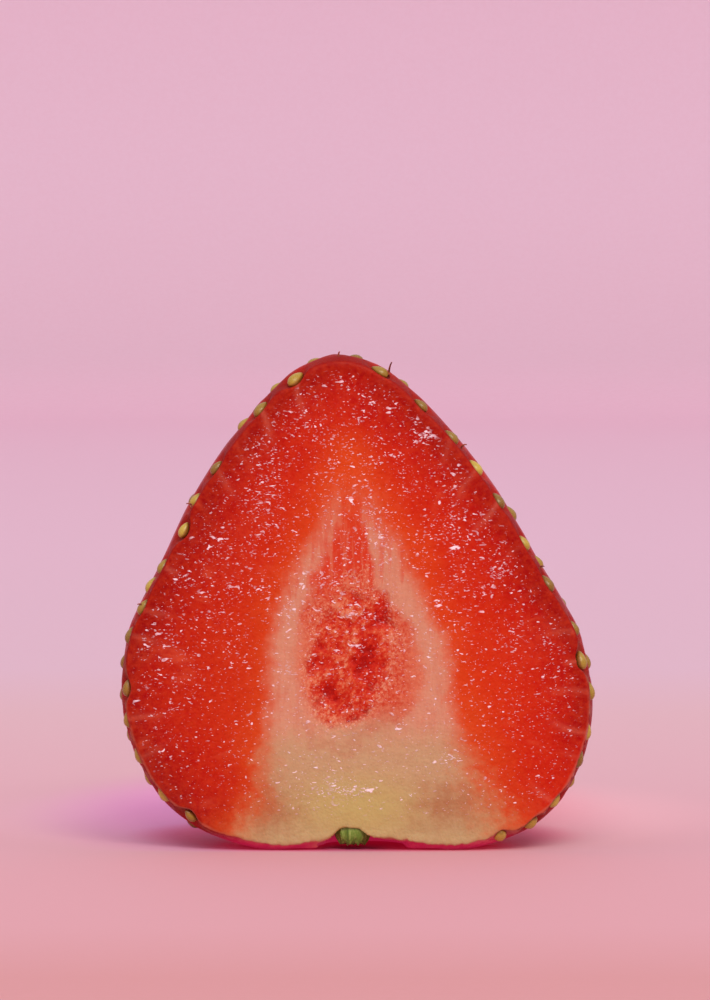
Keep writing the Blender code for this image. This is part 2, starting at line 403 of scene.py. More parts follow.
pit = {
    "depth": 0.5 * mm,
    "length": 0.98 * mm,
    "width": 0.72 * mm,
    "swell": 0.2 * mm,  # how much the skin swells between the pits
    "fades": 0.75 * mm,  # how their pull fades under the skin, and where it stops
    "stops": 2.5 * mm,
}


def growAchene():
    bpy.ops.mesh.primitive_uv_sphere_add(segments=achene["around"], ring_count=achene["rows"], radius=1)
    seed = bpy.context.object
    for vertex in seed.data.vertices:
        across, out, along = vertex.co
        narrow = 1 - achene["point"] * along - 0.12 * along * along
        keel = 1 + 0.1 * (1 - abs(across)) * (out > 0)
        vertex.co = Vector((
            across * achene["width"] / 2 * narrow,
            along * achene["length"] / 2,
            out * achene["thickness"] / 2 * narrow * keel,
        ))
    return seed


def seatMatrix(seat, size):
    along = Matrix.Rotation(seat["turn"], 3, seat["out"]) @ seat["tipward"]
    across = along.cross(seat["out"])
    turned = Matrix((across, along, seat["out"])).transposed()
    return Matrix.Translation(seat["at"]) @ turned.to_4x4() @ Matrix.Scale(size, 4)


def copiesAt(model, places):
    # one mesh of separate copies, each with its own vertices
    copies = []
    for matrix in places:
        copy = model.copy()
        copy.data = model.data.copy()
        scene.collection.objects.link(copy)
        copy.matrix_world = matrix
        copies.append(copy)
    pickNothing()
    for copy in copies:
        copy.select_set(True)
    bpy.context.view_layer.objects.active = copies[0]
    if len(copies) > 1:
        bpy.ops.object.join()
    joined = bpy.context.object
    placeInMesh(joined)
    return joined


def shapeFlesh(whole, hollow, baredPits):
    flesh = whole
    flesh.name = "cutFlesh"
    pickOnly(flesh)
    bpy.ops.object.mode_set(mode="EDIT")
    for spot, outward in (((0, cutY, 0), (0, -1, 0)), ((0, 0, 0), (0, 0, -1))):
        bpy.ops.mesh.select_all(action="SELECT")
        bpy.ops.mesh.bisect(plane_co=spot, plane_no=outward, use_fill=True, clear_outer=True)
    bpy.ops.mesh.select_all(action="SELECT")
    bpy.ops.mesh.remove_doubles(threshold=0.00001)
    bpy.ops.mesh.normals_make_consistent(inside=False)
    bpy.ops.object.mode_set(mode="OBJECT")
    for cutter in (hollow, baredPits):
        useModifier(flesh, "BOOLEAN", operation="DIFFERENCE", object=cutter)
        bpy.data.objects.remove(cutter)
    useModifier(flesh, "REMESH", mode="VOXEL", voxel_size=fruit["grain"])
    useModifier(flesh, "SMOOTH", factor=0.5, iterations=3)
    return flesh


pickNothing()
hollow = shapeHollow()
seedModel = growAchene()
baredPits = copiesAt(seedModel, [seatMatrix(seat, achene["baredPit"]) for seat in seats if seat["bared"]])
flesh = shapeFlesh(whole, hollow, baredPits)
print("flesh cut and remeshed:", len(flesh.data.vertices), "points")

# what lies on the cut face, in millimetres from the axis and from the table
paleEdge = [  # the pale ring and base: height, left edge, right edge
    (-1.0, -10.0, 11.4), (1.0, -9.4, 11.1), (2.2, -8.3, 10.7), (3.4, -7.4, 10.1), (4.6, -7.0, 9.5),
    (6.5, -6.9, 8.5), (8.6, -6.8, 7.7), (10.7, -6.6, 7.5), (13.5, -6.7, 7.2), (15.0, -6.5, 6.8),
    (17.6, -6.2, 6.3), (19.5, -5.8, 5.3), (21.8, -5.0, 4.0), (23.4, -4.05, 3.5), (25.0, -3.2, 2.7),
    (26.7, -2.4, 1.3), (28.4, -1.9, 0.9), (30.0, -1.3, 0.2), (31.6, -0.6, -0.5),
]
pith = {"middle": (0.3, 15.5), "halfWidth": 5.3, "halfHeight": 6.9}  # its round lower end
core = {
    "middle": (-0.5, 15.9), "halfWidth": 3.45, "halfHeight": 5.9, "slant": 0.3,
    "holes": [  # its deepest holes: left-right, height, reach
        (2.2, 19.7, 0.65), (2.8, 18.4, 0.7), (3.2, 13.6, 0.45),
        (-3.1, 16.7, 0.5), (-2.3, 13.0, 0.65), (0.1, 14.3, 0.8),
    ],
    "floor": 0.08,  # how deep its surface lies, and its gaps below that
    "gapDepth": 0.36,
}
relief = {
    "sunk": 0.05,
    "ridge": 0.03,  # how far the pale ring stands up
    "waves": [(0.3, 0.05, 11.0), (1.1, 0.035, 12.0), (3.1, 0.03, 13.0)],  # fineness, depth, seed
}
strand = {  # the pale strands that run in from the achenes along the rim
    "towards": (0.3, 14.5),
    "behindCut": 2.2 * mm,
    "lowest": 3 * mm,
    "lengths": (1.6, 4.6),
    "strengths": (0.15, 1.0),
    "halfWidth": 0.16,
    "widens": 0.05,
}
torn = {  # the cut's lower edge: where it starts and is full, how far it is lifted, and its waves
    "height": (1.9 * mm, 0.9 * mm), "behindCut": (1.2 * mm, 0.2 * mm), "lift": 0.1, "waves": 0.16,
}


def waver(points, scale, seed):
    return np.array([noise.noise(Vector((x * scale, y * scale, seed))) for x, y in points])


def sculptFlesh(flesh):
    mesh = flesh.data
    points = readPoints(mesh)
    normals = readNormals(mesh)
    count = len(points)
    depths = np.empty(count)
    outward = np.empty((count, 3))
    nearest = np.empty((count, 3))
    for i, point in enumerate(points):
        spot, direction, _, distance = skinTree.find_nearest(point)
        depths[i] = distance
        outward[i] = direction
        nearest[i] = spot

    # the pits, and the swelling of the skin between them
    tree = KDTree(len(seats))
    for i, seat in enumerate(seats):
        tree.insert(seat["spot"], i)
    tree.balance()
    lift = np.zeros(count)
    inPit = np.zeros(count)
    for i, spot in enumerate(nearest):
        if depths[i] > pit["stops"]:
            continue
        _, k, _ = tree.find(spot)
        seat = seats[k]
        away = Vector(spot) - seat["spot"]
        along = away.dot(seat["tipward"]) / pit["length"]
        across = away.cross(seat["out"]).dot(seat["tipward"]) / pit["width"]
        reach = math.hypot(along, across)
        hole = math.exp(-reach ** 3 * 0.8)
        swell = 1 - math.exp(-max(0.0, reach - 0.75) ** 2 * 2.2)
        lift[i] = pit["swell"] * (swell - 0.45) - pit["depth"] * hole
        inPit[i] = hole
    onFace = smoothStep(0.55, 0.9, -normals[:, 1]) * smoothStep(0.45 * mm, 0.1 * mm, points[:, 1] - cutY)
    carry = np.exp(-(depths / pit["fades"]) ** 2)
    low = smoothStep(0.3 * mm, 2.0 * mm, points[:, 2])  # keeps the resting flat flat
    shift = outward * (lift * carry * low)[:, None]
    shift[:, 1] *= 1 - onFace

    # the cut face: u and w are millimetres from the axis and from the table
    u = (points[:, 0] - axis.x) / mm
    w = points[:, 2] / mm
    heights = np.array([row[0] for row in paleEdge])
    left = np.interp(w, heights, [row[1] for row in paleEdge])
    right = np.interp(w, heights, [row[2] for row in paleEdge])
    middle = (left + right) / 2
    half = (right - left) / 2
    halves = np.array([row[2] - row[1] for row in paleEdge]) / 2
    lean = np.cos(np.arctan(np.interp(w, heights, np.abs(np.gradient(halves, heights)))))
    flat = np.column_stack([u, w])
    paleIn = (half - np.abs(u - middle)) * lean + waver(flat, 0.45, 1.0) * 0.5 + waver(flat, 1.6, 2.0) * 0.2
    top = heights[-1]
    paleIn = np.where(w > top, -np.hypot(u - middle, w - top), paleIn)
    pithU, pithW = pith["middle"]
    pithReach = np.hypot((u - pithU) / pith["halfWidth"], (w - pithW) / pith["halfHeight"])
    pithIn = np.where(w < pithW, (1 - pithReach) * pith["halfWidth"], 9.0)
    coreU = u - core["middle"][0] - core["slant"] * (w - core["middle"][1]) * 0.5
    coreW = w - core["middle"][1]
    coreIn = 1 - np.hypot(coreU / core["halfWidth"], coreW / core["halfHeight"])
    coreIn = coreIn + waver(flat, 0.7, 5.0) * 0.22 + waver(flat, 2.2, 6.0) * 0.1
    inCore = smoothStep(-0.06, 0.2, coreIn) * onFace
    gaps = np.zeros(count)
    for i in np.nonzero(inCore > 0.01)[0]:
        spot = Vector((u[i], w[i], 0))
        bent = spot * 2.7 + noise.noise_vector(spot * 1.6) * 0.9
        reaches, _ = noise.voronoi(bent)
        lump = min(1.0, max(0.0, (reaches[1] - reaches[0] - 0.02) / 0.45))
        broad = noise.noise(spot * 0.62 + Vector((3, 1, 4))) + 0.6 * noise.noise(spot * 1.5)
        hole = 0.0
        for at, up, reach in core["holes"]:
            hole += math.exp(-((u[i] - at) ** 2 + (w[i] - up) ** 2) / reach ** 2)
        gaps[i] = min(1.0, max(0.0, 0.45 * (1 - lump) + 0.7 * broad + 0.6 * hole * (0.6 + lump) + 0.03))
    dent = inCore * (core["floor"] + core["gapDepth"] * gaps)
    ridge = smoothStep(-0.4, 0.5, paleIn) * smoothStep(2.4, 1.2, paleIn) * smoothStep(7.0, 10.0, w)
    dent += relief["sunk"] - relief["ridge"] * ridge
    for fineness, deep, seed in relief["waves"]:
        dent += deep * waver(flat, fineness, seed)
    shift[:, 1] += dent * mm * onFace * smoothStep(0.15 * mm, 0.9 * mm, depths)

    strands = np.zeros(count)
    heart = np.array(strand["towards"])
    for seat in seats:
        if seat["at"].y > cutY + strand["behindCut"] or seat["at"].z < strand["lowest"]:
            continue
        start = np.array([(seat["at"].x - axis.x) / mm, seat["at"].z / mm])
        toHeart = (heart - start) / np.linalg.norm(heart - start)
        length = rng.uniform(*strand["lengths"])
        strength = rng.uniform(*strand["strengths"]) ** 2
        along = (flat - start) @ toHeart
        bow = 0.12 * np.sin(along * 1.3 + start[1])
        across = (flat - start) @ np.array([-toHeart[1], toHeart[0]]) + bow
        halfWidth = strand["halfWidth"] + strand["widens"] * along
        line = np.exp(-(across / halfWidth) ** 2) * smoothStep(length, length * 0.3, along)
        strands = np.maximum(strands, line * (along > 0) * strength)

    ragged = smoothStep(*torn["height"], points[:, 2])
    ragged = ragged * smoothStep(*torn["behindCut"], points[:, 1] - cutY)
    wave = [noise.noise(Vector((x * 1.3, 0, 3))) + 0.6 * noise.noise(Vector((x * 3.4, 2, 3))) for x in u]
    shift[:, 2] += ragged * (torn["lift"] + torn["waves"] * np.array(wave)) * mm
    points = points + shift
    points[:, 2] = np.maximum(points[:, 2], 0)
    writePoints(mesh, points)

    keepValue(mesh, "onFace", onFace)
    keepValue(mesh, "skinDepth", depths / mm)
    keepValue(mesh, "paleIn", paleIn)
    keepValue(mesh, "pithIn", pithIn)
    keepValue(mesh, "coreNear", np.clip(coreIn, -2, 2))
    keepValue(mesh, "coreIn", inCore)
    keepValue(mesh, "gaps", gaps)
    keepValue(mesh, "strands", strands)
    keepValue(mesh, "inPit", inPit * carry)


sculptFlesh(flesh)
shadeSmooth(flesh)
print("flesh sculpted")


flatMap = {  # the cut face gets most of the map, the skin a round patch in its corner
    "faceSpan": 41 * mm,
    "faceShare": 0.64,
    "margin": 0.01,
    "faceDepth": 1.2 * mm,
    "skinMiddle": (0.815, 0.185),
    "skinReach": 0.17,
}


def mapFlesh(flesh):
    mesh = flesh.data
    layer = mesh.uv_layers.new(name="OFBake")
    points = readPoints(mesh)
    normals = readNormals(mesh)
    centre = np.array([axis.x, cutY, 0.4 * fruit["height"]])
    grow = flatMap["faceShare"] / flatMap["faceSpan"]
    faceU = flatMap["margin"] + (points[:, 0] - fleshLow.x) * grow
    faceV = 1 - flatMap["margin"] - (fleshHigh.z - points[:, 2]) * grow
    away = points - centre
    away /= np.linalg.norm(away, axis=1)[:, None]
    reach = flatMap["skinReach"] * np.sqrt(np.maximum(0, 1 - away[:, 1]))
    wide = np.hypot(away[:, 0], away[:, 2]) + 1e-9
    skinU = flatMap["skinMiddle"][0] + reach * away[:, 0] / wide
    skinV = flatMap["skinMiddle"][1] + reach * away[:, 2] / wide
    for polygon in mesh.polygons:
        corners = list(polygon.vertices)
        face = polygon.normal.y < -0.75 and points[corners, 1].min() < cutY + flatMap["faceDepth"]
        for loop, corner in zip(polygon.loop_indices, corners):
            if face:
                layer.data[loop].uv = (faceU[corner], faceV[corner])
            else:
                layer.data[loop].uv = (skinU[corner], skinV[corner])


mapFlesh(flesh)


tint = {  # the colours, as seen in the studio's light
    "reds": [  # from the skin inwards
        (0.0, lit(160, 4, 2)), (0.12, lit(184, 10, 4)), (0.4, lit(202, 28, 5)),
        (0.75, lit(210, 40, 7)), (1.0, lit(215, 50, 9)),
    ],
    "core": [  # from its crumbs to its gaps
        (0.0, lit(232, 140, 106)), (0.25, lit(222, 86, 52)), (0.5, lit(212, 50, 26)),
        (0.8, lit(203, 32, 14)), (1.0, lit(176, 18, 9)),
    ],
    "redByRing": lit(226, 84, 26), "redInShade": lit(140, 6, 8), "fibre": lit(228, 110, 78),
    "strand": lit(232, 140, 116), "mottle": lit(230, 76, 26), "cell": lit(230, 84, 34),
    "haze": lit(226, 104, 74), "rind": lit(200, 130, 112), "ring": lit(222, 162, 134),
    "ringStreak": lit(212, 112, 82), "pith": lit(210, 70, 42), "pithSpeck": lit(228, 130, 98),
    "pithOuter": lit(226, 140, 108), "pithTop": lit(219, 66, 36), "pithStreak": lit(228, 138, 106),
    "pithLow": lit(208, 166, 134), "cream": lit(203, 168, 128), "creamLow": lit(195, 167, 121),
    "creamMottle": lit(218, 190, 152), "green": lit(204, 190, 118), "bruise": lit(174, 92, 54),
    "arc": lit(196, 122, 92), "orange": lit(220, 84, 30), "amber": lit(214, 92, 38),
    "sugar": lit(238, 178, 146), "glintShade": lit(150, 10, 50), "glint": fromScreen(253, 234, 246),
    "skin": lit(164, 8, 6), "skinBright": lit(194, 20, 10), "pit": lit(206, 74, 40),
    "skinByCut": lit(134, 5, 5), "rim": lit(176, 112, 84), "rimShine": lit(236, 156, 150),
    "skinFine": lit(222, 96, 70), "scar": lit(176, 160, 84),
}
bruises = [(-6.9, 3.6, 0.5), (7.2, 3.9, 0.42)]  # left-right, height, how narrow
glintSpots = [  # where the painted glints are thickest: left-right, height and the reach both ways
    (-1.4, 5.0, 3.4, 0.9), (-0.7, 4.9, 1.9, 0.5), (0.7, 27.5, 0.9, 0.5), (7.3, 7.2, 0.9, 0.7),
    (2.0, 25.0, 1.0, 0.6), (-5.3, 19.3, 0.8, 0.8), (-5.6, 14.6, 1.0, 0.7), (0.6, 18.8, 1.6, 0.6),
    (-9.5, 33.0, 2.4, 0.9), (11.6, 22.6, 1.2, 0.7), (6.0, 33.4, 1.7, 0.8),
]


def fleshFinish():
    bench = Bench("strawberryFlesh")
    place = bench.millimetres((-axis.x / mm, -cutY / mm, 0))
    u = bench.add("SeparateXYZ", None, {0: place}, out=0)
    v = bench.add("SeparateXYZ", None, {0: place}, out=1)
    w = bench.add("SeparateXYZ", None, {0: place}, out=2)
    onFace = bench.stored("onFace")
    depth = bench.stored("skinDepth")
    paleIn = bench.stored("paleIn")
    coreIn = bench.stored("coreIn")
    gaps = bench.stored("gaps")
    inPit = bench.stored("inPit")

    def grain(scale, detail=2.0, rough=0.5, spin=0.0):
        values = {"Vector": place, "Scale": scale, "Detail": detail, "Roughness": rough, "Distortion": spin}
        return bench.add("TexNoise", None, values, out=0)

    # red flesh: deep at the skin, orange towards the ring, with fibres that fan out from the middle, and
    # painted shade towards the left edge
    blotch = grain(0.22, 3.0, 0.55)
    inner = bench.rise(depth + (blotch - 0.5) * 3.0, 0.0, 8.0)
    inner = bench.rise(u, 6.0, 14.0) * bench.rise(w, 11.0, 4.0) * 0.4 + inner
    red = bench.add("ValToRGB", {"stops": tint["reds"]}, {0: inner})
    glow = bench.rise(paleIn + (blotch - 0.5) * 1.6, -3.6, 0.2)
    red = bench.blend(glow * 0.8, red, tint["redByRing"])
    # painted shade: the red darkens towards the left edge of the cut
    leftShade = bench.rise(u, -19.0, 2.0, 0.28, 0.0)
    red = bench.blend(leftShade, red, tint["redInShade"])
    middleOut = bench.add("VectorMath", {"operation": "SUBTRACT"}, {0: place, 1: (0.3, 0.0, 13.5)})
    reach = bench.add("VectorMath", {"operation": "LENGTH"}, {0: middleOut}, out="Value")
    fan = bench.add("VectorMath", {"operation": "NORMALIZE"}, {0: middleOut})
    fan = bench.add("VectorMath", {"operation": "SCALE"}, {0: fan, "Scale": 9.0})
    drift = bench.add("CombineXYZ", None, {0: 0.0, 1: reach * 0.16, 2: 0.0})
    fan = bench.add("VectorMath", {"operation": "ADD"}, {0: fan, 1: drift})
    fibre = bench.add("TexNoise", None, {"Vector": fan, "Scale": 1.4, "Detail": 3.0, "Roughness": 0.6})
    patch = bench.rise(grain(0.3, 2.0, 0.5), 0.45, 0.7)
    fibre = bench.rise(fibre, 0.5, 0.74) * bench.rise(reach, 6.0, 9.0) * patch
    red = bench.blend(fibre * 0.4, red, tint["fibre"])
    red = bench.blend(bench.stored("strands") * 0.4, red, tint["strand"])
    mottle = bench.rise(grain(2.1, 4.0, 0.65), 0.36, 0.7)
    red = bench.blend(mottle * 0.2, red, tint["mottle"])
    cells = bench.add("TexVoronoi", {"feature": "F2"}, {"Vector": place, "Scale": 2.3}, out=0)
    red = bench.blend(bench.rise(cells, 0.45, 0.95) * 0.12, red, tint["cell"])
    haze = bench.rise(grain(0.16, 3.0, 0.6), 0.5, 0.72)
    red = bench.blend(haze * 0.07, red, tint["haze"])
    rind = bench.rise(depth + (grain(0.8) - 0.5) * 0.3, 0.26, 0.05)
    red = bench.blend(rind * bench.rise(w, 16.0, 5.0, 0.0, 0.5), red, tint["rind"])

    # the pale ring, the pith inside it and the cream base
    edgeNoise = (grain(1.3, 3.0, 0.6) - 0.5) * 1.3
    soft = bench.rise(w, 11.0, 4.0, 1.0, 2.1) + bench.rise(u, 4.0, 9.0) * bench.rise(w, 12.0, 6.0) * 0.9
    inPale = bench.add("MapRange", {"interpolation_type": "SMOOTHSTEP"}, {
        0: paleIn + edgeNoise * soft + 0.35, 1: soft * -1.0, 2: soft, 3: 0.0, 4: 1.0})
    tan = tint["ring"]
    upper = bench.rise(w, 18.0, 27.0)
    rightTop = bench.rise(u, 0.5, 1.5) * bench.rise(w, 17.5, 21.0) * bench.rise(w, 29.0, 25.0)
    bandWidth = 1.45 - upper * 0.65 + rightTop * 1.1
    inside = bench.add("Math", {"operation": "MINIMUM"}, {0: paleIn - bandWidth, 1: bench.stored("pithIn")})
    band = bench.rise(inside + edgeNoise * 0.7, 0.6, -0.5)
    streak = bench.add("Mapping", None, {"Vector": place, "Scale": (1.8, 1.8, 0.26)})
    streak = bench.add("TexNoise", None, {"Vector": streak, "Scale": 1.0, "Detail": 4.0, "Roughness": 0.6})
    band = band * bench.rise(streak + upper * -0.1, 0.28, 0.5, 0.45, 1.0)
    crumbs = grain(3.0, 4.0, 0.75)
    specks = bench.rise(crumbs, 0.4, 0.62)
    pithUp = bench.blend(specks * 0.8, tint["pith"], tint["pithSpeck"])
    sideways = bench.add("Math", {"operation": "ABSOLUTE"}, {0: u - 0.2})
    outer = bench.rise(sideways, 3.0, 4.8) * bench.rise(w, 20.0, 16.0)
    pithUp = bench.blend(outer * 0.6, pithUp, tint["pithOuter"])
    pithTop = bench.blend(bench.rise(streak, 0.46, 0.68) * 0.62, tint["pithTop"], tint["pithStreak"])
    inner = bench.blend(bench.rise(w + edgeNoise, 19.0, 23.0), pithUp, pithTop)
    inner = bench.blend(bench.rise(w + edgeNoise * 1.5, 12.4, 8.4), inner, tint["pithLow"])
    tan = bench.blend(bench.rise(streak, 0.42, 0.62) * 0.3, tan, tint["ringStreak"])
    cream = bench.blend(bench.rise(w, 7.5, 2.0), tint["cream"], tint["creamLow"])
    cream = bench.blend(mottle * 0.25, cream, tint["creamMottle"])
    green = bench.rise(bench.away(place, (0.0, 0, -2.6), (0.36, 0, 0.72)), 2.8, 0.2)
    cream = bench.blend(green * 0.75, cream, tint["green"])
    for at, height, side in bruises:
        spread = bench.away(place, (-at * side, 0, -height * 0.6), (side, 0, 0.6))
        bruise = bench.rise(spread + (grain(0.6, 4.0, 0.6) - 0.5) * 3.2, 1.8, -0.2)
        cream = bench.blend(bruise * 0.62, cream, tint["bruise"])
    low = bench.rise(w + edgeNoise * 1.4, 11.0, 7.4)
    pale = bench.blend(band, inner, tan)
    pale = bench.blend(low, pale, cream)
    arc = bench.stored("coreNear") + 0.3 + (blotch - 0.5) * 0.1
    arc = bench.add("Math", {"operation": "ABSOLUTE"}, {0: arc})
    arc = bench.rise(arc, 0.09, 0.0) * bench.rise(w, 12.0, 9.5)
    pale = bench.blend(arc * 0.3, pale, tint["arc"])
    amber = bench.rise(inPale, 0.0, 0.5) * bench.rise(w, 9.0, 6.0)
    around = paleIn + edgeNoise * 1.6 + bench.rise(u, 6.0, 12.0)
    around = bench.rise(around, -4.5, -0.4) * bench.rise(w, 13.0, 9.0)
    red = bench.blend(around * 0.55, red, tint["orange"])
    red = bench.blend(amber * 0.7, red, tint["amber"])
    inPale = inPale * bench.rise(w + edgeNoise, 31.0, 24.0, 0.0, 1.0)
    face = bench.blend(inPale, red, pale)

    # the rough core: coral crumbs with dark red gaps
    gap = gaps * 0.9 + bench.rise(u, -2.0, 2.0, -0.04, 0.16) - bench.rise(u, 2.2, 3.4) * 0.4
    gap = gap + bench.rise(w, 20.0, 15.5, -0.1, 0.14) + (grain(3.6, 3.0, 0.75) - 0.5) * 1.7
    coral = bench.add("ValToRGB", {"stops": tint["core"]}, {0: gap})
    face = bench.blend(coreIn, face, coral)
    sugar = bench.add("Math", {"operation": "ABSOLUTE"}, {0: bench.stored("coreNear")})
    sugar = bench.rise(sugar, 0.3, 0.0) * bench.rise(grain(5.2, 2.0, 0.6), 0.5, 0.62) * onFace
    face = bench.blend(sugar * 0.55, face, tint["sugar"])

    # wet glints: irregular specks drawn out sideways, thick in some places and thin in others; they stand
    # up in the bump and are glossy, and their whitish colour and dark fringe are painted highlight and
    # painted shade
    cluster = bench.rise(grain(0.34, 3.0, 0.6), 0.36, 0.66)
    crown = bench.rise(w, 4.0, 26.0, 0.12, 1.0)
    glintCrowding = cluster * crown * bench.rise(depth, 0.4, 3.0, 0.7, 1.0)
    for at, height, reachU, reachW in glintSpots:
        spread = bench.away(place, (-at / reachU, 0, -height / reachW), (1 / reachU, 0, 1 / reachW))
        glintCrowding = bench.rise(spread, 1.3, 0.3) * 1.1 + glintCrowding
    glintCrowding = bench.add("Math", {"operation": "MINIMUM"}, {0: glintCrowding, 1: 1.5})
    wide = bench.add("Mapping", None, {"Vector": place, "Scale": (0.7, 0.8, 1.35)})
    sheen = bench.rise(grain(1.3, 2.0, 0.6), 0.35, 0.65, 0.25, 1.0)
    glints = 0.0
    for scale, least, weight in ((5.2, 0.662, 0.6), (3.3, 0.668, 0.9), (1.9, 0.69, 1.0)):
        bead = {"Vector": wide, "Scale": scale, "Detail": 1.0, "Roughness": 0.7, "Distortion": 0.4}
        bead = bench.add("TexNoise", None, bead)
        bead = bead + glintCrowding * 0.07 - 0.021
        glints = bench.rise(bead, least, least + 0.05) * weight + glints
    glints = bench.add("Math", {"operation": "MINIMUM"}, {0: glints * sheen, 1: 1.0})
    glints = glints * onFace * bench.rise(depth, 0.3, 1.0) * bench.rise(w, 2.0, 4.0)
    # painted shade: a dark red fringe around each glint
    glintShade = bench.rise(glints, 0.0, 0.3) * bench.rise(glints, 0.7, 0.35)
    face = bench.blend(glintShade * 0.35, face, tint["glintShade"])
    # painted highlight: the glints' whitish colour
    face = bench.blend(glints * 0.86, face, tint["glint"])

    # the skin: glossy deep red, a little paler in the pits, pale green in the hollow, with a painted
    # highlight on the rim's lower right and a painted crimson glow close to the table
    skinBlotch = grain(0.3, 3.0, 0.5)
    skin = bench.blend(bench.rise(skinBlotch, 0.3, 0.75), tint["skin"], tint["skinBright"])
    skin = bench.blend(inPit * 0.55, skin, tint["pit"])
    skin = bench.blend(bench.rise(v, 2.6, 0.6) * 0.6, skin, tint["skinByCut"])
    rim = bench.rise(v, 1.9, 0.5) * bench.rise(w, 22.0, 12.0) * bench.rise(grain(0.9, 4.0, 0.65), 0.4, 0.62)
    skin = bench.blend(rim * 0.6, skin, tint["rim"])
    # painted highlight: a pale pink shine on the rim's lower right
    shine = rim * bench.rise(u, 7.0, 12.0) * bench.rise(w, 13.0, 9.0)
    skin = bench.blend(shine * 0.45, skin, tint["rimShine"])
    fine = bench.rise(grain(6.0, 3.0, 0.6), 0.35, 0.7)
    skin = bench.blend(fine * 0.12, skin, tint["skinFine"])
    toStalk = (-(stubMiddle.x - axis.x) / mm, -(stubMiddle.y - cutY) / mm, 0)
    fromStalk = bench.away(place, toStalk, (1, 1, 0))
    scar = bench.rise(fromStalk + (skinBlotch - 0.5) * 2.0, 4.2, 2.6) * bench.rise(w, 4.0, 3.0)
    skin = bench.blend(scar, skin, tint["scar"])
    colour = bench.blend(onFace, skin, face)

    rough = bench.rise(grain(1.7, 2.0, 0.5), 0.3, 0.7, 0.34, 0.5)
    rough = rough - glints * 0.3
    skinRough = bench.rise(fine, 0.0, 1.0, 0.3, 0.42) + bench.rise(v, 3.2, 0.6) * 0.25
    rough = rough * onFace + skinRough * (1 - onFace)
    cellValues = {"Vector": place, "Scale": 4.2, "Smoothness": 0.6}
    cellsHigh = bench.add("TexVoronoi", {"feature": "SMOOTH_F1"}, cellValues, out=0)
    height = grain(5.5, 3.0, 0.6) * 0.5 + (0.6 - cellsHigh) * 0.6 + glints * 0.8 + crumbs * coreIn * 1.4
    height = height * onFace + fine * 0.35 * (1 - onFace)
    bump = bench.add("Bump", None, {"Strength": 0.45, "Distance": 0.00011, "Height": height})
    # painted light: the skin close to the table glows crimson, standing in for light coming through the
    # flesh
    under = bench.rise(w, 1.8, 0.3) * (1 - onFace)
    glow = bench.blend(under, (0.0, 0.0, 0.0, 1.0), (0.26, 0.008, 0.04, 1.0))
    wet = (1 - onFace) * 0.35 * bench.rise(v, 0.8, 4.0) + glints * 0.4
    shader = bench.add("BsdfPrincipled", None, {
        "Base Color": colour, "Roughness": rough, "Normal": bump, "IOR": 1.38, "Specular IOR Level": 0.15,
        "Coat Weight": wet, "Coat Roughness": 0.14, "Coat IOR": 1.4,
        "Subsurface Weight": 0.12, "Subsurface Radius": (1.0, 0.25, 0.12), "Subsurface Scale": 1.2 * mm,
        "Emission Color": glow, "Emission Strength": 1.0,
    })
    return bench.finish(shader)


flesh.data.materials.clear()
flesh.data.materials.append(fleshFinish())
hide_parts("flesh")
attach(flesh, "root")
print("flesh finished")


def shapeAchenes():
    places = [seatMatrix(seat, seat["size"]) for seat in seats]
    perSeed = len(seedModel.data.vertices)
    achenes = copiesAt(seedModel, places)
    achenes.name = "achenes"
    mesh = achenes.data
    tones = []
    paler = achene["paler"]
    for seat in seats:
        # painted light: the low ones in front get a paler tone
        lowInFront = seat["at"].z < paler["below"] and seat["at"].y < cutY + paler["behindCut"]
        tones.append(seat["tone"] + paler["by"] * lowInFront)
    ends = [vertex.co.y / achene["length"] * 2 for vertex in seedModel.data.vertices]
    tops = [vertex.co.z / achene["thickness"] * 2 for vertex in seedModel.data.vertices]
    keepValue(mesh, "tone", np.repeat(tones, perSeed))
    keepValue(mesh, "endwise", np.tile(ends, len(seats)))
    keepValue(mesh, "topwise", np.tile(tops, len(seats)))
    shadeSmooth(achenes)
    return achenes


def acheneFinish():
    bench = Bench("acheneShell")
    place = bench.millimetres()
    tone = bench.stored("tone")
    end = bench.stored("endwise")
    top = bench.stored("topwise")
    streak = bench.add("TexNoise", None, {"Vector": place, "Scale": 2.6, "Detail": 3.0, "Roughness": 0.6})
    # the tone holds painted light: the low ones in front are paler
    base = bench.add("ValToRGB", {"stops": achene["shell"]}, {0: tone * 0.8 + streak * 0.35})
    base = bench.blend(bench.rise(top, 0.35, -0.2) * 0.75, base, achene["foot"])
    base = bench.blend(bench.rise(end, 0.55, 1.0) * 0.6, base, achene["ends"])
    fine = bench.add("TexNoise", None, {"Vector": place, "Scale": 9.0, "Detail": 2.0})
    bump = bench.add("Bump", None, {"Strength": 0.35, "Distance": 0.00004, "Height": fine})
    rough = bench.rise(fine, 0.3, 0.7, 0.22, 0.38)
    shell = {"Base Color": base, "Roughness": rough, "Normal": bump, "IOR": 1.5}
    shader = bench.add("BsdfPrincipled", None, shell)
    return bench.finish(shader)


achenes = shapeAchenes()
bpy.data.objects.remove(seedModel)
achenes.data.materials.clear()
achenes.data.materials.append(acheneFinish())
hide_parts(*[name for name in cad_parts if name.startswith("achene_")])
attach(achenes, "root")
print("achenes finished")


stalk = {
    "radius": 1.5 * mm,
    "forward": 0.25 * mm,  # how much nearer to the cut it stands than the frame's stub
    "inset": 0.3 * mm,
    "grain": 0.1 * mm,
    "ribs": 0.14 * mm,
    "torn": 0.26 * mm,
    "narrowing": 0.3,
    "greens": [  # from its grooves to its ribs: darker in the grooves and paler on the ribs, partly the stalk's own colour and partly painted shade and highlight
        (0.25, fromScreen(66, 92, 24)), (0.5, fromScreen(100, 134, 40)), (0.75, fromScreen(160, 180, 94)),
    ],
}


